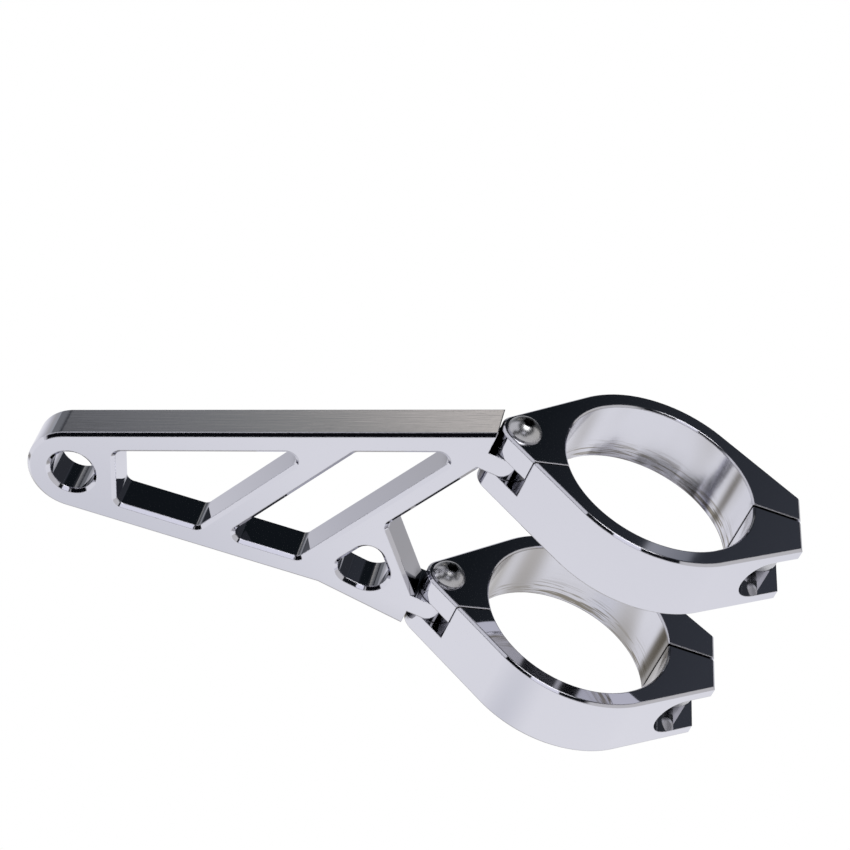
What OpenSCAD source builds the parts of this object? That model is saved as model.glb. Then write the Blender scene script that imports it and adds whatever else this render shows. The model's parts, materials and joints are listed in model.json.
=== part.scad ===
// Headlight mounting bracket for a motorcycle fork leg.
// A milled, plated truss arm carries the lamp at its left end. At its right end two tongues hold
// two hinged clamps, one above the other, that close round the fork tube. The model's origin is on
// the fork's axis at half height of the upper clamp, with +Z up the fork and the arm along -X.

/* [Fork] */
// Diameter of the fork tube that both clamps close on
fork_d = 54; // [35:0.5:60]
// Distance between the two clamps, measured along the fork
clamp_pitch = 56; // [45:1:75]

/* [Clamp] */
// Height of one clamp along the fork
clamp_h = 19.5; // [18:0.5:24]
// Wall of the ring round the fork
ring_wall = 5.2; // [4:0.1:8]
// Length from the fork's axis to the flat end of the nose
nose_reach = 41.2; // [38:0.1:50]
// Width of the nose's flat end
nose_w = 21.2; // [16:0.1:26]
// Gap between the two halves at the nose
nose_gap = 1.0; // [0.4:0.1:2]
// Distance of the split at the nose behind the clamp's middle plane
nose_shift = 1.2; // [0:0.1:2]
// Gap between the two halves at the hinge
hinge_gap = 0.4; // [0.2:0.05:0.6]
// Angle of the hinge split from the clamp's long axis, seen from the fork's axis
split_angle = 17.2; // [15:0.1:22]
// Width of the bevel round the clamp's outer edges
clamp_bevel = 0.7; // [0.3:0.1:1.5]
// Width of the bevel round the bore's edges
bore_bevel = 0.5; // [0.2:0.1:1]
// Width of the bevels along the split
split_bevel = 0.25; // [0.1:0.05:0.6]

/* [Hinge] */
// Distance from the hinge screw to the fork's axis
hinge_reach = 39; // [37:0.5:46]
// Radius of the ears round the hinge screw
ear_r = 6.2; // [6:0.1:7.5]
// Thickness of one ear
ear_t = 6.75; // [5:0.25:8]
// Free play between an ear and the tongue, on each side
tongue_play = 0.1; // [0.05:0.01:0.2]
// Angle of the clamps from the arm's plane, as the bracket stands
swing = 8; // [-20:1:20]

/* [Screws] */
// Thread diameter of the hinge screws and pinch screws
screw_d = 5; // [4:0.5:6]
// Pitch of the screws' thread
thread_pitch = 0.8; // [0.7:0.1:1]
// Radial clearance of a hinge screw in the ear and the tongue that turn on it
screw_play = 0.05; // [0.03:0.01:0.1]
// Radial clearance of a pinch screw in the front half
pinch_play = 0.25; // [0.15:0.05:0.4]
// Diameter of a hinge screw's button head
button_d = 9.5; // [8:0.1:11]
// Height of a hinge screw's button head
button_h = 3.2; // [2:0.05:4]
// Length of a hinge screw under its head
hinge_screw_l = 19; // [16:0.5:19]
// Width across flats of a hinge screw's socket
button_socket = 3; // [2:0.5:4]
// Diameter of a pinch screw's cylinder head
cap_d = 8.5; // [7:0.1:10]
// Height of a pinch screw's cylinder head
cap_h = 5; // [4:0.1:6]
// Length of a pinch screw under its head
pinch_screw_l = 16; // [12:1:17]
// Width across flats of a pinch screw's socket
cap_socket = 4; // [3:0.5:5]
// Distance from the nose's end to the pinch screw
pinch_inset = 7.6; // [6.8:0.1:9]
// Height of the milled pocket round the pinch screw's head
pocket_h = 12.8; // [11:0.1:14]
// Distance from the clamp's middle plane to the pocket's floor
pocket_floor = 3.2; // [2.8:0.1:6]
// Distance from the pinch screw to the end of its seat, past which the pocket runs through to the split
seat_reach = 4.4; // [4.2:0.1:5.5]
// Radius that the cutter leaves in the corners of that run-through
cutter_r = 1.5; // [0.5:0.1:2.5]

/* [Arm] */
// Thickness of the arm's plate
plate_t = 12.5; // [10:0.5:16]
// Distance from the hinge screws to the headlight hole
arm_reach = 106.5; // [90:0.5:140]
// Drop from the arm's top corner to the headlight hole
arm_drop = 70; // [60:1:85]
// Radius of the arm's round end
end_r = 12.8; // [11:0.1:16]
// Clearance between the ears and the arm's end face
ear_clearance = 0.4; // [0.3:0.1:1]
// Height of the arm's lower right corner over the lower clamp's underside
corner_lift = 1.5; // [0:0.1:3]
// Distance from the hinge screws to the bend in the arm's lower edge
bend_reach = 32.3; // [25:0.1:45]
// Height of that bend over the lower right corner
bend_lift = 1.9; // [0:0.1:3]
// Width of the bevel round the arm's edges
plate_bevel = 1.0; // [0.3:0.1:1.5]

/* [Arm openings] */
// Diameter of the headlight hole
headlight_hole_d = 12.5; // [8:0.1:16]
// Wall between the headlight hole's middle and the first window
boss_wall = 12.4; // [11:0.1:16]
// Width of the bar along the arm's top edge
top_bar = 6.4; // [4:0.1:9]
// Width of the bar along the arm's lower edge
bottom_bar = 6.6; // [4:0.1:9]
// Angle of the slanted bars
bar_angle = 63.4; // [55:0.1:75]
// Width of the left slanted bar
left_bar = 6.7; // [4:0.1:9]
// Width of the right slanted bar
right_bar = 5.8; // [4:0.1:9]
// Width of the second window, square to the slanted bars
window_2_w = 17; // [12:0.5:22]
// Corner radius of the two windows
window_r = 2.3; // [1.5:0.1:4]
// Angle of the lower wall of the open bay between the tongues
bay_angle = 51.3; // [45:0.1:60]
// Corner radius of the open bay
bay_r = 2.3; // [1.5:0.1:4]
// Radius of the two left corners of the three-sided hole
tri_left_r = 4.2; // [2:0.1:4.5]
// Radius of the right corner of the three-sided hole
tri_right_r = 6; // [3:0.1:6.5]
// Wall between the three-sided hole and the second window
tri_left_wall = 7.3; // [5:0.1:10]
// Wall between the three-sided hole and the open bay
tri_bay_wall = 4.6; // [4:0.1:7]
// Wall between the three-sided hole and the arm's lower edge
tri_bottom_wall = 5.8; // [5:0.1:8]

/* [Hidden] */
$fn = 96;
// Overrun of a cutting shape past the surface that it opens
over = 1;
// Round corners stand out by this much, so that the flat walls and bevels cross them and don't just touch
cross = 0.01;
// Length by which a straight wedge runs on past its end along a round one
lap = 2;

plate_chrome = "#d8d8de";
stainless = "#a8a49c";

// Clamp, drawn with the hinge screw at the origin, the fork along +X and the top face at z = 0
bore_r = fork_d / 2;
ring_r = bore_r + ring_wall;
nose_x = hinge_reach + nose_reach;
flank_turn = 90 + asin((ring_r - ear_r) / hinge_reach);
nose_corner = [nose_reach, nose_w / 2];
nose_turn = atan2(nose_corner[1], nose_corner[0]) + acos(ring_r / norm(nose_corner));
pinch_x = nose_x - pinch_inset;
slot_h = clamp_h - 2 * ear_t;
screw_hole_r = screw_d / 2 + screw_play;
// Tapped holes are drawn at the thread's mean diameter, in which the screw's plain shank is held
tapped_r = (screw_d - 0.65 * thread_pitch) / 2;
pinch_hole_r = screw_d / 2 + pinch_play;

// Arm, drawn with X from the hinge screws and Y up the fork from the upper clamp's mid-height
tongue_t = slot_h - 2 * tongue_play;
tongue_r = plate_t / 2;
arm_top = clamp_h / 2;
arm_bottom = -clamp_pitch - clamp_h / 2 + corner_lift;
arm_end = -(ear_r + ear_clearance);
lamp = [-arm_reach, arm_top - arm_drop];
top_corner = [arm_end, arm_top];
low_corner = [arm_end, arm_bottom];
bend = [-bend_reach, arm_bottom + bend_lift];

// Unit vector in a direction, and the unit vector to the left of it
function along(a) = [cos(a), sin(a)];
function left_of(a) = [-sin(a), cos(a)];
// A line is its direction and its distance from the origin, counted to the left
function line_through(p, q) = let (a = atan2(q[1] - p[1], q[0] - p[0])) [a, left_of(a) * p];
function line_at(p, a) = [a, left_of(a) * p];
function shifted(l, d) = [l[0], l[1] + d];
function meet(l, m) = (l[1] * along(m[0]) - m[1] * along(l[0])) / sin(m[0] - l[0]);
// Point where a line from p touches a circle, on the circle's left or right side seen from p
function touch_point(p, c, r, side) =
    let (d = norm(p - c), a = atan2(p[1] - c[1], p[0] - c[0]) - side * acos(r / d)) c + r * along(a);

// Directions and lines of the arm's outline
top_touch = touch_point(top_corner, lamp, end_r, -1);
low_touch = touch_point(bend, lamp, end_r, 1);
top_line = line_through(top_touch, top_corner);
low_line = line_through(low_touch, bend);
foot_line = line_through(bend, low_corner);
spine_angle = (top_line[0] + low_line[0]) / 2;

// Lines of the walls inside the arm
bay_top = -tongue_t / 2;
bay_bottom = -clamp_pitch + tongue_t / 2;
bay_upper = line_at([arm_end, bay_top], bar_angle);
bay_lower = line_at([arm_end, bay_bottom], -bay_angle);
window_2_right = shifted(bay_upper, right_bar);
window_2_left = shifted(window_2_right, window_2_w);
window_1_right = shifted(window_2_left, left_bar);
window_1_left = line_at(lamp + boss_wall * along(spine_angle), spine_angle + 90);
window_top = shifted(top_line, -top_bar);
window_bottom = shifted(low_line, bottom_bar);
tri_left = shifted(window_2_right, -tri_left_wall);
tri_right = shifted(bay_lower, -tri_bay_wall);
tri_bottom = shifted(foot_line, tri_bottom_wall);

window_1 = [
    meet(window_1_left, window_top), meet(window_1_left, window_bottom),
    meet(window_1_right, window_bottom), meet(window_1_right, window_top)
];
window_2 = [
    meet(window_2_left, window_top), meet(window_2_left, window_bottom),
    meet(window_2_right, window_bottom), meet(window_2_right, window_top)
];
tri_hole = [meet(tri_left, tri_right), meet(tri_left, tri_bottom), meet(tri_right, tri_bottom)];
window_corners = [for (i = [0 : 3]) window_r];
tri_hole_r = [tri_left_r, tri_left_r, tri_right_r];

// Corner i of a closed outline: its half angle, arc centre and two touching points
function unit(v) = v / norm(v);
function before(pts, i) = unit(pts[(i + len(pts) - 1) % len(pts)] - pts[i]);
function after(pts, i) = unit(pts[(i + 1) % len(pts)] - pts[i]);
function half_angle(pts, i) = acos(before(pts, i) * after(pts, i)) / 2;
function arc_centre(pts, i, r) =
    pts[i] + unit(before(pts, i) + after(pts, i)) * r / sin(half_angle(pts, i));
function arc_start(pts, i, r) = pts[i] + before(pts, i) * r / tan(half_angle(pts, i));
function arc_end(pts, i, r) = pts[i] + after(pts, i) * r / tan(half_angle(pts, i));

// Wedge that bevels the straight edge from p to q at z = 0, with the material on the left. Its lead and tail
// run past the ends
module bevel_line(p, q, c, lead = 0, tail = 0) {
    a = atan2(q[1] - p[1], q[0] - p[0]);
    o = c / 2;
    translate([p[0], p[1], 0]) rotate([0, 0, a]) translate([-lead, 0, 0]) rotate([90, 0, 90])
        linear_extrude(norm(q - p) + lead + tail) polygon([[c + o, o], [-o, o], [-o, -c - o]]);
}

// The same wedge bent round an outer arc, from angle a0 to angle a1
module bevel_arc(centre, r, a0, a1, c) {
    o = c / 2;
    rim = r + cross;
    translate([centre[0], centre[1], 0]) rotate([0, 0, a0])
        rotate_extrude(angle = a1 - a0) translate([rim, 0]) polygon([[-c - o, o], [o, -c - o], [o, o]]);
}

// Cone that bevels a round corner of an opening
module bevel_corner(centre, r, c) {
    o = 0.7 * c;
    rim = r + cross;
    translate([centre[0], centre[1], -c - o]) cylinder(r1 = rim - o, r2 = rim + c + o, h = c + 2 * o);
}

// Straight-sided opening with a radius for each corner, cut through a plate of height h and bevelled
// at both faces
module opening(pts, radii, h, c) {
    n = len(pts);
    translate([0, 0, -h / 2 - over]) linear_extrude(h + 2 * over) {
        polygon([for (i = [0 : n - 1]) each [arc_start(pts, i, radii[i]), arc_end(pts, i, radii[i])]]);
        for (i = [0 : n - 1]) translate(arc_centre(pts, i, radii[i])) circle(radii[i] + cross);
    }
    for (face = [0, 1]) mirror([0, 0, face]) translate([0, 0, h / 2])
        for (i = [0 : n - 1]) {
            next = (i + 1) % n;
            bevel_line(arc_start(pts, next, radii[next]), arc_end(pts, i, radii[i]), c);
            bevel_corner(arc_centre(pts, i, radii[i]), radii[i], c);
        }
}

// Round hole through a plate of height h, bevelled at both faces
module round_opening(centre, r, h, c) {
    translate([centre[0], centre[1], 0]) rotate_extrude() polygon([
        [0, -h / 2 - over], [r + c + over, -h / 2 - over], [r, -h / 2 + c],
        [r, h / 2 - c], [r + c + over, h / 2 + over], [0, h / 2 + over]
    ]);
}

// Outline of the arm without its openings: a round end, a straight top and a bent lower edge
module arm_blank() {
    linear_extrude(plate_t, center = true) {
        polygon([top_corner, top_touch, lamp, low_touch, bend, low_corner]);
        translate(lamp) circle(end_r);
    }
}

// Bevels along the arm's outer edges, on both faces
module arm_bevels() {
    c = plate_bevel;
    mitre = c * tan((low_line[0] - foot_line[0]) / 2);
    for (face = [0, 1]) mirror([0, 0, face]) translate([0, 0, plate_t / 2]) {
        bevel_line(top_corner, top_touch, c, 2 * c, lap);
        bevel_arc(lamp, end_r, top_line[0] + 90, low_line[0] + 270, c);
        bevel_line(low_touch, bend, c, lap, mitre);
        bevel_line(bend, low_corner, c, mitre, 2 * c);
    }
}

// Open bay between the two tongues, its left wall running out and back in two slopes
module bay() {
    far = tongue_r + over;
    bay_pts = [[arm_end, bay_top], meet(bay_upper, bay_lower), [arm_end, bay_bottom]];
    translate([0, 0, -plate_t / 2 - over]) linear_extrude(plate_t + 2 * over) {
        polygon([
            [far, bay_top], bay_pts[0], arc_start(bay_pts, 1, bay_r), arc_end(bay_pts, 1, bay_r),
            bay_pts[2], [far, bay_bottom]
        ]);
        translate(arc_centre(bay_pts, 1, bay_r)) circle(bay_r + cross);
    }
    for (face = [0, 1]) mirror([0, 0, face]) translate([0, 0, plate_t / 2]) {
        bevel_line(arc_start(bay_pts, 1, bay_r), bay_pts[0], plate_bevel);
        bevel_corner(arc_centre(bay_pts, 1, bay_r), bay_r, plate_bevel);
        bevel_line(bay_pts[2], arc_end(bay_pts, 1, bay_r), plate_bevel);
    }
}

// One tongue, a slab square to the fork with a full round end about the hinge screw
module tongue(level) {
    translate([0, level, 0]) rotate([-90, 0, 0]) translate([0, 0, -tongue_t / 2]) {
        cylinder(r = tongue_r, h = tongue_t);
        translate([2 * arm_end, -plate_t / 2, 0]) cube([-2 * arm_end, plate_t, tongue_t]);
    }
}

module bracket_arm() {
    color(plate_chrome) translate(hinge_at(0)) rotate([90, 0, 0]) difference() {
        union() {
            difference() {
                arm_blank();
                bay();
                arm_bevels();
            }
            tongue(0);
            tongue(-clamp_pitch);
        }
        opening(window_1, window_corners, plate_t, plate_bevel);
        opening(window_2, window_corners, plate_t, plate_bevel);
        opening(tri_hole, tri_hole_r, plate_t, plate_bevel);
        round_opening(lamp, headlight_hole_d / 2, plate_t, plate_bevel);
        for (level = [0, -clamp_pitch]) translate([0, level, 0]) rotate([90, 0, 0])
            cylinder(r = screw_hole_r, h = tongue_t + 2 * over, center = true);
    }
}

// Place of a hinge screw at a given level, with the fork's axis at the origin
function hinge_at(level) = [-hinge_reach * cos(swing), -hinge_reach * sin(swing), level];

// Outer form of a whole clamp: ear, ring and nose, with tangent flanks
module clamp_blank() {
    ring = [hinge_reach, 0];
    flank = [ear_r * along(flank_turn), ring + ring_r * along(flank_turn)];
    slope = [ring + ring_r * along(nose_turn), [nose_x, nose_w / 2]];
    side = concat(flank, slope);
    translate([0, 0, -clamp_h]) {
        cylinder(r = ear_r, h = clamp_h);
        translate(ring) cylinder(r = ring_r, h = clamp_h);
        linear_extrude(clamp_h) polygon(concat(side, [for (i = [3 : -1 : 0]) [side[i][0], -side[i][1]]]));
    }
}

// Bevels round the clamp's outer edge, at its top and bottom
module clamp_bevels() {
    c = clamp_bevel;
    ring = [hinge_reach, 0];
    for (face = [0, 1]) translate([0, 0, -face * clamp_h]) mirror([0, 0, face]) {
        bevel_arc([0, 0], ear_r, flank_turn, 360 - flank_turn, c);
        bevel_line([nose_x, -nose_w / 2], [nose_x, nose_w / 2], c, 2 * c, 2 * c);
        for (side = [0, 1]) mirror([0, side, 0]) {
            bevel_line([nose_x, nose_w / 2], ring + ring_r * along(nose_turn), c, 2 * c, lap);
            bevel_arc(ring, ring_r, nose_turn, flank_turn, c);
            bevel_line(ring + ring_r * along(flank_turn), ear_r * along(flank_turn), c, lap, lap);
        }
    }
}

// Everything in front of the split: of a ray that leaves the fork's axis toward the hinge at angle a, and
// of a plane along the nose at distance y behind the clamp's middle plane
module in_front_of(a, h, y) {
    reach = 2 * nose_x;
    top = [hinge_reach, 0] - hinge_gap / 2 * left_of(a);
    translate([0, 0, -clamp_h - over]) linear_extrude(h + over) polygon([
        top, top + reach * along(a), [-reach, -reach],
        [reach, -reach], [reach, y], [hinge_reach, y]
    ]);
}

// Bevel along the split near the hinge, on the face where the split follows the ray at angle a
module bevel_split(a) {
    top = [hinge_reach, 0] - hinge_gap / 2 * left_of(a);
    bevel_line(top + ring_r * 1.3 * along(a), top + (bore_r - over) * along(a), split_bevel);
}

// Half a clamp with its ear at the top. The ear reaches past the clamp's long axis to a plane on the far
// side, and under it the half stops short of the axis, which leaves room for the tongue and the other ear.
// The nose starts at distance y behind the middle plane
module half_clamp(y) {
    difference() {
        clamp_blank();
        clamp_bevels();
        translate([0, 0, -clamp_h / 2]) round_opening([hinge_reach, 0], bore_r, clamp_h, bore_bevel);
        in_front_of(180 + split_angle, clamp_h + over, y);
        in_front_of(180 - split_angle, clamp_h - ear_t, y);
        for (face = [0, 1]) translate([0, 0, -face * clamp_h]) mirror([0, 0, face])
            bevel_line([hinge_reach + bore_r, y], [nose_x, y], split_bevel, over, over);
        for (face = [0, 1]) translate([0, 0, -face * clamp_h]) mirror([0, 0, face])
            bevel_split(180 + (1 - 2 * face) * split_angle);
    }
}

// The front half is the same shape turned over about the clamp's long axis
module turned_over() {
    translate([0, 0, -clamp_h]) rotate([180, 0, 0]) children();
}

// Moves a clamp part from its own drawing place to its place on the fork
module on_fork(level) {
    translate(hinge_at(level + clamp_h / 2)) rotate([0, 0, swing]) children();
}

// Back half: the hinge screw turns in its ear, and the pinch screw's thread runs through its nose
module clamp_back_half(level) {
    color(plate_chrome) on_fork(level) difference() {
        half_clamp(nose_shift + nose_gap / 2);
        translate([0, 0, -ear_t - over]) cylinder(r = screw_hole_r, h = ear_t + 2 * over);
        translate([pinch_x, 0, -clamp_h / 2]) rotate([-90, 0, 0]) cylinder(r = tapped_r, h = ring_r + over);
    }
}

// Front half: its ear is tapped for the hinge screw, and its nose has the pinch screw's pocket, which is
// open to the slope and the end and runs right through to the split beside the screw's seat
module clamp_front_half(level) {
    pocket_r = pocket_h / 2;
    // Cuts through the nose start this far behind the clamp's middle plane
    back = nose_shift + over;
    color(plate_chrome) on_fork(level) difference() {
        turned_over() half_clamp(nose_gap / 2 - nose_shift);
        translate([0, 0, -clamp_h - over]) cylinder(r = tapped_r, h = ear_t + 2 * over);
        translate([pinch_x, 0, -clamp_h / 2]) {
            translate([0, back, 0]) rotate([90, 0, 0]) cylinder(r = pinch_hole_r, h = back + ring_r);
            translate([0, -pocket_floor, 0]) rotate([90, 0, 0]) cylinder(r = pocket_r, h = ring_r + over);
            translate([0, -ring_r - over, -pocket_r])
                cube([pinch_inset + over, ring_r + over - pocket_floor, pocket_h]);
            translate([seat_reach + cutter_r, -ring_r, -pocket_r]) cube([pinch_inset, back + ring_r, pocket_h]);
            translate([seat_reach, -ring_r, cutter_r - pocket_r])
                cube([2 * cutter_r, back + ring_r, pocket_h - 2 * cutter_r]);
            for (side = [-1, 1]) translate([seat_reach + cutter_r, back, side * (pocket_r - cutter_r)])
                rotate([90, 0, 0]) cylinder(r = cutter_r, h = back + ring_r);
        }
    }
}

// Six-sided socket, w across its flats, cut down from z = 0
module hex_socket(w, depth) {
    translate([0, 0, -depth]) cylinder(d = w / cos(30), h = depth + over, $fn = 6);
}

// Button head screw down the hinge: a domed head on the upper ear and a plain shank
module hinge_screw(level) {
    // The dome runs from the rim up to a small flat round the socket
    rim_h = button_h / 8;
    rise = button_h - rim_h;
    flat_r = button_socket / 2 / cos(30) + 0.25;
    drop = (pow(button_d / 2, 2) - pow(flat_r, 2) - rise * rise) / (2 * rise);
    dome_r = sqrt(pow(button_d / 2, 2) + drop * drop);
    color(stainless) on_fork(level) difference() {
        union() {
            translate([0, 0, -hinge_screw_l]) cylinder(d = screw_d, h = hinge_screw_l + over);
            cylinder(d = button_d, h = rim_h);
            intersection() {
                translate([0, 0, rim_h]) cylinder(d = button_d, h = rise);
                translate([0, 0, rim_h - drop]) sphere(dome_r);
            }
        }
        translate([0, 0, button_h]) hex_socket(button_socket, button_h * 0.6);
    }
}

// Cylinder head screw that pulls the two halves together
module pinch_screw(level) {
    edge = cap_d / 20;
    color(stainless) on_fork(level) translate([pinch_x, -pocket_floor, -clamp_h / 2]) rotate([90, 0, 0])
        difference() {
            union() {
                translate([0, 0, -pinch_screw_l]) cylinder(d = screw_d, h = pinch_screw_l + over);
                cylinder(d = cap_d, h = cap_h - edge);
                translate([0, 0, cap_h - edge]) cylinder(d1 = cap_d, d2 = cap_d - 2 * edge, h = edge);
            }
            translate([0, 0, cap_h]) hex_socket(cap_socket, cap_h / 2);
        }
}

bracket_arm();
clamp_back_half(0);  // upper_clamp_back_half
clamp_front_half(0);  // upper_clamp_front_half
hinge_screw(0);  // upper_hinge_screw
pinch_screw(0);  // upper_pinch_screw
clamp_back_half(-clamp_pitch);  // lower_clamp_back_half
clamp_front_half(-clamp_pitch);  // lower_clamp_front_half
hinge_screw(-clamp_pitch);  // lower_hinge_screw
pinch_screw(-clamp_pitch);  // lower_pinch_screw
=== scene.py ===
import json
import math

import bmesh
import bpy
from mathutils import Euler, Matrix

bl_info = {
    "name": "Headlight mounting bracket",
    "version": (1, 0, 0),
    "blender": (4, 5, 0),
    "location": "View3D > Sidebar > Bracket",
    "description": "Dresses the packed bracket in bright plate and steel and sets a plain studio round it",
    "category": "Object",
}

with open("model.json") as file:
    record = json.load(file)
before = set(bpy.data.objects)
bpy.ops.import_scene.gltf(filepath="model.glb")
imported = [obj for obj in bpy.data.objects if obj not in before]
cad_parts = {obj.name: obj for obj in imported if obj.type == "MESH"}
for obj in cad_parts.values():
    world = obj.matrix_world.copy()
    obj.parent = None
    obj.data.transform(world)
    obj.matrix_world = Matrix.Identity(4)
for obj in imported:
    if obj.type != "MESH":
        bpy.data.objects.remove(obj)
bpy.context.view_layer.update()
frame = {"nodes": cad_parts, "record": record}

MM = 0.001
MOUNTS = {mount["name"]: mount for mount in frame["record"]["mounts"]}
BORE_RADIUS = MOUNTS["fork_clamp_upper"]["dims"]["r_mm"] * MM
CLAMP_PITCH = MOUNTS["fork_clamp_upper"]["pos_m"][2] - MOUNTS["fork_clamp_lower"]["pos_m"][2]
PLATED = ("bracket_arm", "upper_clamp_back_half", "upper_clamp_front_half",
          "lower_clamp_back_half", "lower_clamp_front_half")
SCREWS = ("upper_hinge_screw", "upper_pinch_screw", "lower_hinge_screw", "lower_pinch_screw")

# colour of the painted shade in narrow slots and pockets
RECESS_SHADE = "#26282c"
FLOOR_PAINT = "#e8e8ea"
DARK_ROOM = "#303237"
# The two colours that a Mix node blends, as its inputs
MIX_A, MIX_B = 6, 7


def linear(text):
    """Linear RGBA from an sRGB hex colour."""
    channels = [int(text[i:i + 2], 16) / 255 for i in (1, 3, 5)]
    return [c / 12.92 if c <= 0.04045 else ((c + 0.055) / 1.055) ** 2.4 for c in channels] + [1.0]


def srgb(text):
    """The same colour for a colour property, which holds linear RGB."""
    return linear(text)[:3]


class PlateSettings(bpy.types.PropertyGroup):
    """Bright plate on the arm and the clamps."""

    colour: bpy.props.FloatVectorProperty(
        name="Plate colour", description="Tint of the bright nickel and chrome plate",
        subtype="COLOR", size=3, min=0, max=1, default=srgb("#d8d8df"))
    # the bores' warm grey, used for their painted shade and painted reflection streaks and for their scratched
    # rings
    bore_scratch_and_shade_colour: bpy.props.FloatVectorProperty(
        name="Bore colour", description="Tint of the plate in the bores, where it is thin and warm",
        subtype="COLOR", size=3, min=0, max=1, default=srgb("#8f8a80"))
    polish: bpy.props.FloatProperty(
        name="Polish", description="Roughness of the polished faces", min=0.01, max=0.5, default=0.03)
    bore_finish: bpy.props.FloatProperty(
        name="Bore finish", description="Roughness of the bored faces that grip the fork",
        min=0.02, max=0.6, default=0.13)
    brushed: bpy.props.FloatProperty(
        name="Brushed top", description="Roughness of the arm's brushed top edge",
        min=0.02, max=0.6, default=0.1)
    edge: bpy.props.FloatProperty(
        name="Edge rounding", description="Radius that polishing leaves on the edges",
        subtype="DISTANCE", unit="LENGTH", min=0, max=1 * MM, default=0.4 * MM)
    score: bpy.props.FloatProperty(
        name="Score lines", description="Distance between the fine lines left by the boring tool",
        subtype="DISTANCE", unit="LENGTH", min=0.05 * MM, max=1 * MM, default=0.6 * MM)


class ScrewSettings(bpy.types.PropertyGroup):
    """Stainless steel of the screws."""

    colour: bpy.props.FloatVectorProperty(
        name="Steel colour", description="Tint of the turned stainless steel",
        subtype="COLOR", size=3, min=0, max=1, default=srgb("#c9c9cb"))
    roughness: bpy.props.FloatProperty(
        name="Turned finish", description="Roughness of the screws' turned surface",
        min=0.05, max=0.6, default=0.26)


class StageSettings(bpy.types.PropertyGroup):
    """Camera, floor and studio light."""

    camera_at: bpy.props.FloatVectorProperty(
        name="Camera place", description="Where the camera stands",
        subtype="TRANSLATION", unit="LENGTH", size=3, default=(-0.110472, -0.582311, 0.440077))
    camera_turn: bpy.props.FloatVectorProperty(
        name="Camera turn", description="How the camera is turned, as XYZ angles",
        subtype="EULER", unit="ROTATION", size=3,
        default=(math.radians(49.61185), math.radians(-20.58502), math.radians(11.94455)))
    lens: bpy.props.FloatProperty(
        name="Lens", description="Focal length on a 36 mm sensor, in millimetres",
        min=20, max=300, default=116.26)
    floor_drop: bpy.props.FloatProperty(
        name="Floor drop", description="How far the floor lies under the bracket's origin",
        subtype="DISTANCE", unit="LENGTH", min=0.08, max=1, default=0.3)
    floor_size: bpy.props.FloatProperty(
        name="Floor size", description="Side of the square floor", subtype="DISTANCE", unit="LENGTH",
        min=1, max=20, default=8)
    level: bpy.props.FloatProperty(
        name="Room level", description="Strength of the room's even light", min=0.1, max=2, default=0.9)


class BracketSettings(bpy.types.PropertyGroup):
    """All settings of the bracket."""

    plate: bpy.props.PointerProperty(type=PlateSettings)
    screws: bpy.props.PointerProperty(type=ScrewSettings)
    stage: bpy.props.PointerProperty(type=StageSettings)


def add_node(tree, kind, links=None, **values):
    """Adds one node: values set its attributes or inputs, and links join sockets to its inputs.

    An input is named with _ for a space, or by its number after a _ where inputs share a name.
    """
    node = tree.nodes.new(kind)
    for key, value in values.items():
        if hasattr(node, key) and key not in node.inputs:
            setattr(node, key, value)
        else:
            node.inputs[int(key[1:]) if key[1:].isdigit() else key.replace("_", " ")].default_value = value
    for key, source in (links or {}).items():
        tree.links.new(source, node.inputs[key])
    return node


def new_material(name):
    """A material with an empty node tree, and that tree."""
    material = bpy.data.materials.new(name)
    material.use_nodes = True
    material.node_tree.nodes.clear()
    return material, material.node_tree


def shade_recesses(tree, colour):
    """The colour with painted shade: it turns dark grey in narrow slots and pockets."""
    # painted shade: ambient occlusion darkens the colour in slots and pockets
    openness = add_node(tree, "ShaderNodeAmbientOcclusion", Distance=7 * MM, samples=8)
    unshaded_share = add_node(tree, "ShaderNodeMapRange", {"Value": openness.outputs["AO"]},
                       interpolation_type="SMOOTHSTEP", From_Min=0.2, From_Max=0.6)
    metal = add_node(tree, "ShaderNodeMix", {"Factor": unshaded_share.outputs["Result"], MIX_B: colour},
                     data_type="RGBA")
    metal.inputs[MIX_A].default_value = linear(RECESS_SHADE)
    return metal.outputs[2]


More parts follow.
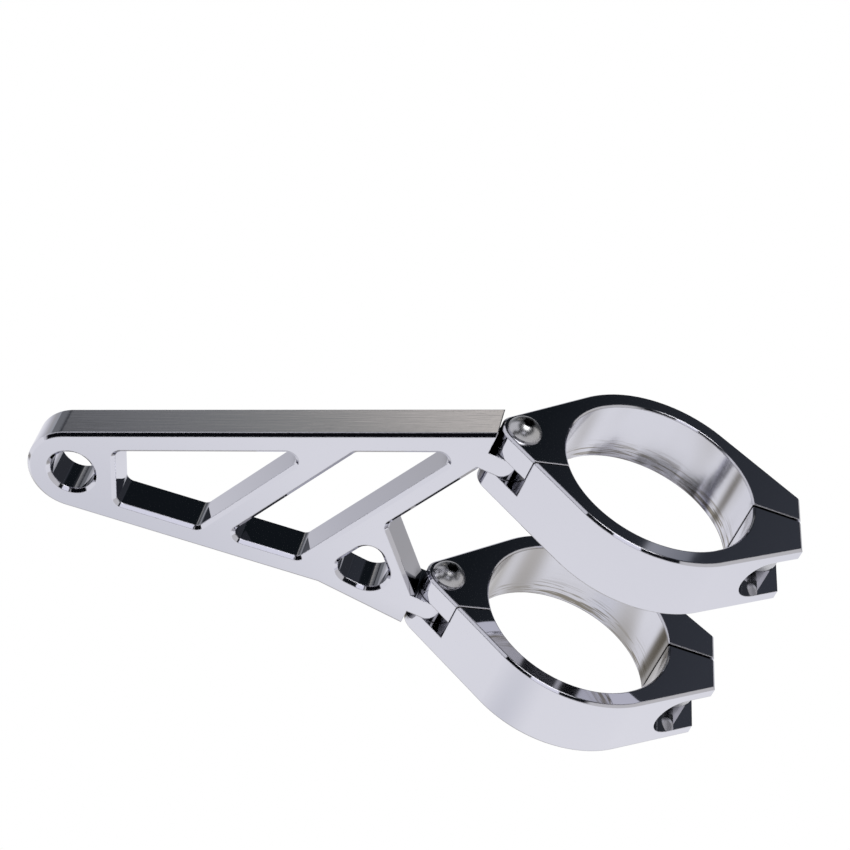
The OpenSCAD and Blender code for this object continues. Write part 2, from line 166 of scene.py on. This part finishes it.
def bright_plate(settings):
    """Decorative chrome over milled aluminium: a mirror with a faint ripple from the polishing wheel.

    The bores keep the boring tool's fine rings under the plate, and the arm's top edge is brushed lengthwise.
    """
    material, tree = new_material("bright_chrome_plate")
    place = add_node(tree, "ShaderNodeTexCoord")
    facing = add_node(tree, "ShaderNodeSeparateXYZ", {0: place.outputs["Normal"]})
    # 1 on the bored faces, which lie nearer to the fork's axis than any other face
    across = add_node(tree, "ShaderNodeVectorMath", {0: place.outputs["Object"]}, operation="MULTIPLY",
                      _1=(1, 1, 0))
    from_axis = add_node(tree, "ShaderNodeVectorMath", {0: across.outputs[0]}, operation="LENGTH")
    bored = add_node(tree, "ShaderNodeMath", {0: from_axis.outputs["Value"]}, operation="LESS_THAN",
                     _1=BORE_RADIUS + 0.2 * MM)
    # 1 on the arm's sloping top edge
    sloping = add_node(tree, "ShaderNodeMapRange", {"Value": facing.outputs["X"]},
                       interpolation_type="SMOOTHSTEP", From_Min=-0.40, From_Max=-0.46)
    upward = add_node(tree, "ShaderNodeMath", {0: facing.outputs["Z"]}, operation="GREATER_THAN", _1=0.8)
    brushed = add_node(tree, "ShaderNodeMath", {0: sloping.outputs[0], 1: upward.outputs[0]},
                       operation="MULTIPLY")
    roughness = add_node(tree, "ShaderNodeMapRange", {"Value": bored.outputs[0]},
                         To_Min=settings.polish, To_Max=settings.bore_finish)
    roughness = add_node(tree, "ShaderNodeMix",
                         {"Factor": brushed.outputs[0], 2: roughness.outputs["Result"]}, _3=settings.brushed)
    # the wheel's ripple, about 9 mm from crest to crest
    ripple = add_node(tree, "ShaderNodeTexNoise", {"Vector": place.outputs["Object"]},
                      Scale=1 / (9 * MM), Detail=1.0, Roughness=0.4)
    # edges rounded a little by the polishing
    rounded = add_node(tree, "ShaderNodeBevel", Radius=settings.edge, samples=6)
    ripple_bump = add_node(tree, "ShaderNodeBump",
                           {"Height": ripple.outputs["Fac"], "Normal": rounded.outputs["Normal"]},
                           Strength=0.25, Distance=0.02 * MM)
    # rings round the bore: noise that changes quickly along the fork and slowly round it, drawn coarser than
    # the real ones so that they show
    rings_at = add_node(tree, "ShaderNodeVectorMath", {0: place.outputs["Object"]}, operation="MULTIPLY",
                        _1=(0.05, 0.05, 1))
    rings = add_node(tree, "ShaderNodeTexNoise", {"Vector": rings_at.outputs[0]},
                     Scale=1 / settings.score, Detail=2.0, Roughness=0.6)
    rings_strength = add_node(tree, "ShaderNodeMath", {0: bored.outputs[0]}, operation="MULTIPLY", _1=0.4)
    rings_bump = add_node(tree, "ShaderNodeBump",
                          {"Height": rings.outputs["Fac"], "Strength": rings_strength.outputs[0],
                           "Normal": ripple_bump.outputs["Normal"]}, Distance=0.01 * MM)
    # brush lines along the arm's top edge: noise that changes quickly across it, 0.3 mm from line to line,
    # coarser than the real grit's so that they show
    lines_at = add_node(tree, "ShaderNodeVectorMath", {0: place.outputs["Object"]}, operation="MULTIPLY",
                        _1=(0.02, 1, 0.02))
    lines = add_node(tree, "ShaderNodeTexNoise", {"Vector": lines_at.outputs[0]},
                     Scale=1 / (0.3 * MM), Detail=2.0, Roughness=0.6)
    lines_bump = add_node(tree, "ShaderNodeBump",
                          {"Height": lines.outputs["Fac"], "Strength": brushed.outputs[0],
                           "Normal": rings_bump.outputs["Normal"]}, Distance=0.013 * MM)
    # the bores' colour: painted shade and painted reflections as soft warm streaks along the fork, and dark
    # scratched rings toward the lower edge
    streaks_at = add_node(tree, "ShaderNodeVectorMath", {0: place.outputs["Object"]}, operation="MULTIPLY",
                          _1=(1, 1, 0.25))
    streaks = add_node(tree, "ShaderNodeTexNoise", {"Vector": streaks_at.outputs[0]},
                       Scale=1 / (22 * MM), Detail=1.0, Roughness=0.5)
    along = add_node(tree, "ShaderNodeSeparateXYZ", {0: place.outputs["Object"]}).outputs["Z"]
    # painted shade: the lower clamp's bore gets more of the warm streaks
    lower_clamp = add_node(tree, "ShaderNodeMath", {0: along}, operation="LESS_THAN", _1=-CLAMP_PITCH / 2)
    painted_shade_share = add_node(tree, "ShaderNodeMath", {0: lower_clamp.outputs[0], 2: streaks.outputs["Fac"]},
                    operation="MULTIPLY_ADD", _1=0.2)
    warm = add_node(tree, "ShaderNodeMapRange", {"Value": painted_shade_share.outputs[0]},
                    interpolation_type="SMOOTHSTEP", From_Min=0.53, From_Max=0.76, To_Max=0.75)
    # height over the middle of the clamp that the place belongs to
    height = add_node(tree, "ShaderNodeMath", {0: along}, operation="WRAP",
                      _1=CLAMP_PITCH / 2, _2=-CLAMP_PITCH / 2)
    low = add_node(tree, "ShaderNodeMapRange", {"Value": height.outputs[0]}, interpolation_type="SMOOTHSTEP",
                   From_Min=-1 * MM, From_Max=-8 * MM)
    scratched = add_node(tree, "ShaderNodeMapRange", {"Value": rings.outputs["Fac"]},
                         interpolation_type="SMOOTHSTEP", From_Min=0.48, From_Max=0.6)
    scratched = add_node(tree, "ShaderNodeMath", {0: scratched.outputs["Result"], 1: low.outputs["Result"]},
                         operation="MULTIPLY")
    scratches_and_painted_shade = add_node(tree, "ShaderNodeMath", {0: warm.outputs["Result"], 1: scratched.outputs[0]},
                    operation="MAXIMUM")
    scratches_and_painted_shade = add_node(tree, "ShaderNodeMath", {0: scratches_and_painted_shade.outputs[0], 1: bored.outputs[0]}, operation="MULTIPLY")
    # the plate turns to the bores' warm grey where the painted shade streaks and the scratched rings lie
    colour = add_node(tree, "ShaderNodeMix", {"Factor": scratches_and_painted_shade.outputs[0]}, data_type="RGBA")
    colour.inputs[MIX_A].default_value = (*settings.colour, 1)
    colour.inputs[MIX_B].default_value = (*settings.bore_scratch_and_shade_colour, 1)
    # the plate gets painted shade in its slots and pockets
    shader = add_node(tree, "ShaderNodeBsdfPrincipled",
                      {"Base Color": shade_recesses(tree, colour.outputs[2]), "Roughness": roughness.outputs[0],
                       "Normal": lines_bump.outputs["Normal"]}, Metallic=1.0)
    add_node(tree, "ShaderNodeOutputMaterial", {"Surface": shader.outputs[0]})
    return material


def turned_stainless(settings):
    """Stainless steel as turned and tumbled: a plain grey with soft, slightly uneven highlights."""
    material, tree = new_material("turned_stainless_steel")
    place = add_node(tree, "ShaderNodeTexCoord")
    # the tumbling's speckle, drawn 0.4 mm wide so that it shows
    speckle = add_node(tree, "ShaderNodeTexNoise", {"Vector": place.outputs["Object"]},
                       Scale=1 / (0.4 * MM), Detail=2.0)
    roughness = add_node(tree, "ShaderNodeMapRange", {"Value": speckle.outputs["Fac"]},
                         To_Min=settings.roughness * 0.8, To_Max=settings.roughness * 1.3)
    bump = add_node(tree, "ShaderNodeBump", {"Height": speckle.outputs["Fac"]},
                    Strength=0.12, Distance=0.01 * MM)
    steel = add_node(tree, "ShaderNodeRGB").outputs[0]
    steel.default_value = (*settings.colour, 1)
    # the steel gets painted shade in its slots and pockets
    shader = add_node(tree, "ShaderNodeBsdfPrincipled",
                      {"Base Color": shade_recesses(tree, steel), "Roughness": roughness.outputs["Result"],
                       "Normal": bump.outputs["Normal"]}, Metallic=1.0)
    add_node(tree, "ShaderNodeOutputMaterial", {"Surface": shader.outputs[0]})
    return material


def dress(names, material):
    """Gives the named CAD nodes one material."""
    for name in names:
        mesh = frame["nodes"][name].data
        mesh.materials.clear()
        mesh.materials.append(material)


class BRACKET_OT_plate(bpy.types.Operator):
    """Dress the arm and the clamps' halves in bright plate"""

    bl_idname = "bracket.plate"
    bl_label = "Plate the arm and clamps"

    def execute(self, context):
        dress(PLATED, bright_plate(context.scene.bracket.plate))
        return {"FINISHED"}


class BRACKET_OT_screws(bpy.types.Operator):
    """Dress the hinge and pinch screws in turned stainless steel"""

    bl_idname = "bracket.screws"
    bl_label = "Finish the screws"

    def execute(self, context):
        dress(SCREWS, turned_stainless(context.scene.bracket.screws))
        return {"FINISHED"}


# What the plate mirrors beside the floor, as cards of the studio, a later one before an earlier one. Each has
# its colour at its left and right edge, its brightness, the bearing of its middle and half its width, the
# height of its middle over the horizon and half its height, and half the width of its soft edge. All angles are
# in degrees, and a bearing is 0 straight behind the bracket, 90 on its right and 180 at the camera's side
CARDS = (
    ("#cfcdcb", "#dcdce2", 1, 180, 130, 2, 43, 3),         # pale walls at the camera's side
    ("#dcdce2", "#dcdce2", 1, -108, 14, 38, 10, 2),        # their higher end on the left
    ("#15171b", "#15171b", 1, 182, 53, 50, 7, 1),          # black frame over them
    ("#0b0c10", "#0b0c10", 1, -136.5, 12.5, 35, 13, 1.5),  # black flag for the arm's top bevel
    ("#0b0c10", "#0b0c10", 1, -122, 11, 14, 15, 1.5),      # its foot, for the bevel round the arm's end
    ("#15171b", "#15171b", 1, 180, 25, 38, 6, 1.5),        # the frame's lower part, for the bores
    ("#f4f4ff", "#f4f4ff", 1, 187, 17, 51, 6, 1),          # lamp in the frame
    ("#14181c", "#14181c", 1, -10, 18, 38, 12, 3),         # dark ceiling behind
    ("#14181c", "#3c3f46", 1, 11, 4, 38, 9, 0.5),          # its grey end on the right
    ("#a2a4ab", "#7d8088", 1, 11.9, 0.6, 37.2, 0.8, 0.1),  # small window in it
    ("#75777a", "#75777a", 1, -38, 14, 0, 11, 2),          # foot of the wall behind at the left
    ("#797a7c", "#818282", 1, -33.5, 4.5, 20, 7, 1),       # that wall, for the arm's top edge
    ("#929492", "#b0aca3", 1, -31.5, 2.8, 20, 7, 0.8),     # a lighter part of it
    ("#e2dcd3", "#e2dcd3", 1, -29.2, 1.8, 20, 7, 0.5),     # its lit warm end
    ("#ffffff", "#ffffff", 3, 0, 180, 87, 13, 4),          # lamp overhead
)

# The floor as the plate mirrors it, in metres, all painted: its painted shadow under the part by distance from
# the fork's axis, its painted darkening toward the back of the room by distance behind the axis, and painted
# patches on it, each with its colour, its middle, its reach and half the width of its soft edge
FLOOR_SHADE = ((0.0, "#8d8a86"), (0.2, "#b9b7b5"), (0.29, "#fcfcff"), (0.5, "#f6f6fa"))
FLOOR_BACK_SHADE = ((0.0, "#ffffff"), (0.35, "#f4f4f6"), (0.58, "#cfcfd2"), (0.9, "#b7b6b4"), (1.6, "#aeb0b2"))
FLOOR_PATCHES = (
    ("#7f7a70", (-0.4, 0.05), 0.04, 0.03),    # grey, a streak in the upper bore's right end
    ("#7f7a70", (-0.23, 0.2), 0.06, 0.03),    # grey, in the lower bore's right end
    ("#e3e4ea", (-0.13, -0.22), 0.08, 0.08),  # pale, in the arm's front toward its lower edge
)


class BRACKET_OT_stage(bpy.types.Operator):
    """Set the floor, the studio's light and the camera"""

    bl_idname = "bracket.stage"
    bl_label = "Set the stage"

    def execute(self, context):
        settings = context.scene.bracket.stage
        self.floor(context.scene, settings)
        self.world(context.scene, settings)
        self.camera(context.scene, settings)
        context.scene.view_settings.view_transform = "Standard"
        return {"FINISHED"}

    def floor(self, scene, settings):
        """A plain pale floor, white to the camera, shaded to the plate and clear from beneath."""
        mesh = bpy.data.meshes.new("floor")
        bm = bmesh.new()
        bmesh.ops.create_grid(bm, x_segments=1, y_segments=1, size=settings.floor_size / 2)
        bmesh.ops.translate(bm, verts=bm.verts, vec=(0, 0, -settings.floor_drop))
        bm.to_mesh(mesh)
        bm.free()
        floor = bpy.data.objects.new("floor", mesh)
        scene.collection.objects.link(floor)
        material, tree = new_material("pale_studio_floor")
        rays = add_node(tree, "ShaderNodeLightPath")
        seen = add_node(tree, "ShaderNodeMath",
                        {0: rays.outputs["Is Camera Ray"], 1: rays.outputs["Is Glossy Ray"]},
                        operation="MAXIMUM")
        seen = add_node(tree, "ShaderNodeMath", {0: seen.outputs[0], 1: rays.outputs["Is Transmission Ray"]},
                        operation="MAXIMUM")
        tone = add_node(tree, "ShaderNodeMix",
                        {"Factor": rays.outputs["Is Camera Ray"], MIX_A: self.mirrored_floor(tree, settings)},
                        data_type="RGBA")
        tone.inputs[MIX_B].default_value = (1, 1, 1, 1)
        white = add_node(tree, "ShaderNodeEmission", {"Color": tone.outputs[2]}, Strength=1.0)
        paint = add_node(tree, "ShaderNodeBsdfDiffuse", Color=linear(FLOOR_PAINT))
        above = add_node(tree, "ShaderNodeMixShader",
                         {0: seen.outputs[0], 1: paint.outputs[0], 2: white.outputs[0]})
        # clear from beneath, so that the part's underside can be looked at
        side = add_node(tree, "ShaderNodeNewGeometry")
        clear = add_node(tree, "ShaderNodeBsdfTransparent")
        surface = add_node(tree, "ShaderNodeMixShader",
                           {0: side.outputs["Backfacing"], 1: above.outputs[0], 2: clear.outputs[0]})
        add_node(tree, "ShaderNodeOutputMaterial", {"Surface": surface.outputs[0]})
        mesh.materials.append(material)

    def mirrored_floor(self, tree, settings):
        """The floor's colour in the plate: its painted shadow, its painted darkening toward the back and its
        painted patches.
        """
        place = add_node(tree, "ShaderNodeTexCoord").outputs["Object"]
        flat = add_node(tree, "ShaderNodeVectorMath", {0: place}, operation="MULTIPLY", _1=(1, 1, 0))
        away = add_node(tree, "ShaderNodeVectorMath", {0: flat.outputs[0]}, operation="LENGTH")
        shade = self.ramp(tree, away.outputs["Value"], FLOOR_SHADE)
        behind = add_node(tree, "ShaderNodeSeparateXYZ", {0: place})
        back_shade = self.ramp(tree, behind.outputs["Y"], FLOOR_BACK_SHADE)
        both = add_node(tree, "ShaderNodeMix", {MIX_A: shade, MIX_B: back_shade}, data_type="RGBA",
                        blend_type="MULTIPLY")
        both.inputs["Factor"].default_value = 1.0
        mirrored = both.outputs[2]
        # painted patches, which the plate mirrors as grey and pale streaks
        for colour, middle, reach, soft in FLOOR_PATCHES:
            to_patch = add_node(tree, "ShaderNodeVectorMath", {0: place}, operation="DISTANCE",
                                _1=(*middle, -settings.floor_drop))
            share = add_node(tree, "ShaderNodeMapRange", {"Value": to_patch.outputs["Value"]},
                             interpolation_type="SMOOTHSTEP", From_Min=reach + soft, From_Max=reach - soft)
            patch = add_node(tree, "ShaderNodeMix", {"Factor": share.outputs["Result"], MIX_A: mirrored},
                             data_type="RGBA")
            patch.inputs[MIX_B].default_value = linear(colour)
            mirrored = patch.outputs[2]
        return mirrored

    def ramp(self, tree, value, stops):
        """Colours blended by a distance that starts at 0."""
        reach = stops[-1][0]
        share = add_node(tree, "ShaderNodeMath", {0: value}, operation="DIVIDE", _1=reach)
        ramp = add_node(tree, "ShaderNodeValToRGB", {"Fac": share.outputs[0]})
        while len(ramp.color_ramp.elements) < len(stops):
            ramp.color_ramp.elements.new(1.0)
        for element, (distance, colour) in zip(ramp.color_ramp.elements, stops):
            element.position = distance / reach
            element.color = linear(colour)
        return ramp.outputs["Color"]

    def world(self, scene, settings):
        """White to the camera, an even level on matt things, and the studio's cards in mirrors."""
        world = bpy.data.worlds.new("studio")
        scene.world = world
        world.use_nodes = True
        tree = world.node_tree
        tree.nodes.clear()
        rays = add_node(tree, "ShaderNodeLightPath")
        place = add_node(tree, "ShaderNodeTexCoord")
        toward = add_node(tree, "ShaderNodeSeparateXYZ", {0: place.outputs["Generated"]})
        bearing = add_node(tree, "ShaderNodeMath", {0: toward.outputs["X"], 1: toward.outputs["Y"]},
                           operation="ARCTAN2")
        bearing = add_node(tree, "ShaderNodeMath", {0: bearing.outputs[0]}, operation="DEGREES")
        height = add_node(tree, "ShaderNodeMath", {0: toward.outputs["Z"]}, operation="ARCSINE")
        height = add_node(tree, "ShaderNodeMath", {0: height.outputs[0]}, operation="DEGREES")

        def inside(value, middle, half, soft):
            """How far a bearing or height lies inside a card, from 0 to 1, and its offset from the middle."""
            offset = add_node(tree, "ShaderNodeMath", {0: value}, operation="SUBTRACT", _1=middle)
            offset = add_node(tree, "ShaderNodeMath", {0: offset.outputs[0]}, operation="WRAP",
                              _1=180.0, _2=-180.0)
            size = add_node(tree, "ShaderNodeMath", {0: offset.outputs[0]}, operation="ABSOLUTE")
            share = add_node(tree, "ShaderNodeMapRange", {"Value": size.outputs[0]},
                             interpolation_type="SMOOTHSTEP", From_Min=half + soft, From_Max=half - soft)
            return share.outputs["Result"], offset.outputs[0]

        colour = add_node(tree, "ShaderNodeRGB").outputs[0]
        colour.default_value = linear(DARK_ROOM)
        for left, right, bright, middle, half_width, rise, half_height, soft in CARDS:
            wide, offset = inside(bearing.outputs[0], middle, half_width, soft)
            high, _ = inside(height.outputs[0], rise, half_height, soft)
            share = add_node(tree, "ShaderNodeMath", {0: wide, 1: high}, operation="MULTIPLY")
            along = add_node(tree, "ShaderNodeMapRange", {"Value": offset},
                             From_Min=-half_width, From_Max=half_width)
            card = add_node(tree, "ShaderNodeMix", {"Factor": along.outputs["Result"]}, data_type="RGBA")
            card.inputs[MIX_A].default_value = [bright * c for c in linear(left)]
            card.inputs[MIX_B].default_value = [bright * c for c in linear(right)]
            mix = add_node(tree, "ShaderNodeMix",
                           {"Factor": share.outputs[0], MIX_A: colour, MIX_B: card.outputs[2]},
                           data_type="RGBA")
            colour = mix.outputs[2]
        mirrored = add_node(tree, "ShaderNodeBackground", {"Color": colour}, Strength=1.0)
        even = add_node(tree, "ShaderNodeBackground", Color=(1, 1, 1, 1), Strength=settings.level)
        white = add_node(tree, "ShaderNodeBackground", Color=(1, 1, 1, 1), Strength=1.0)
        lit = add_node(tree, "ShaderNodeMixShader",
                       {0: rays.outputs["Is Glossy Ray"], 1: even.outputs[0], 2: mirrored.outputs[0]})
        seen = add_node(tree, "ShaderNodeMixShader",
                        {0: rays.outputs["Is Camera Ray"], 1: lit.outputs[0], 2: white.outputs[0]})
        add_node(tree, "ShaderNodeOutputWorld", {"Surface": seen.outputs[0]})

    def camera(self, scene, settings):
        """A long lens, tipped down and rolled as in the photograph."""
        data = bpy.data.cameras.new("camera")
        data.sensor_width = 36
        data.lens = settings.lens
        data.clip_start = 0.01
        camera = bpy.data.objects.new("camera", data)
        turn = Euler(settings.camera_turn).to_matrix().to_4x4()
        camera.matrix_world = Matrix.Translation(settings.camera_at) @ turn
        scene.collection.objects.link(camera)
        scene.camera = camera


class BRACKET_PT_panel(bpy.types.Panel):
    """Sidebar panel that lists the bracket's steps"""

    bl_idname = "BRACKET_PT_panel"
    bl_label = "Headlight bracket"
    bl_space_type = "VIEW_3D"
    bl_region_type = "UI"
    bl_category = "Bracket"

    def draw(self, context):
        for step in STEPS:
            self.layout.operator(step.bl_idname)


STEPS = (BRACKET_OT_plate, BRACKET_OT_screws, BRACKET_OT_stage)
CLASSES = (PlateSettings, ScrewSettings, StageSettings, BracketSettings, *STEPS, BRACKET_PT_panel)


def register():
    for cls in CLASSES:
        bpy.utils.register_class(cls)
    bpy.types.Scene.bracket = bpy.props.PointerProperty(type=BracketSettings)


def unregister():
    del bpy.types.Scene.bracket
    for cls in reversed(CLASSES):
        bpy.utils.unregister_class(cls)


def main():
    register()
    bpy.ops.bracket.plate()
    bpy.ops.bracket.screws()
    bpy.ops.bracket.stage()


if __name__ == "__main__":
    main()
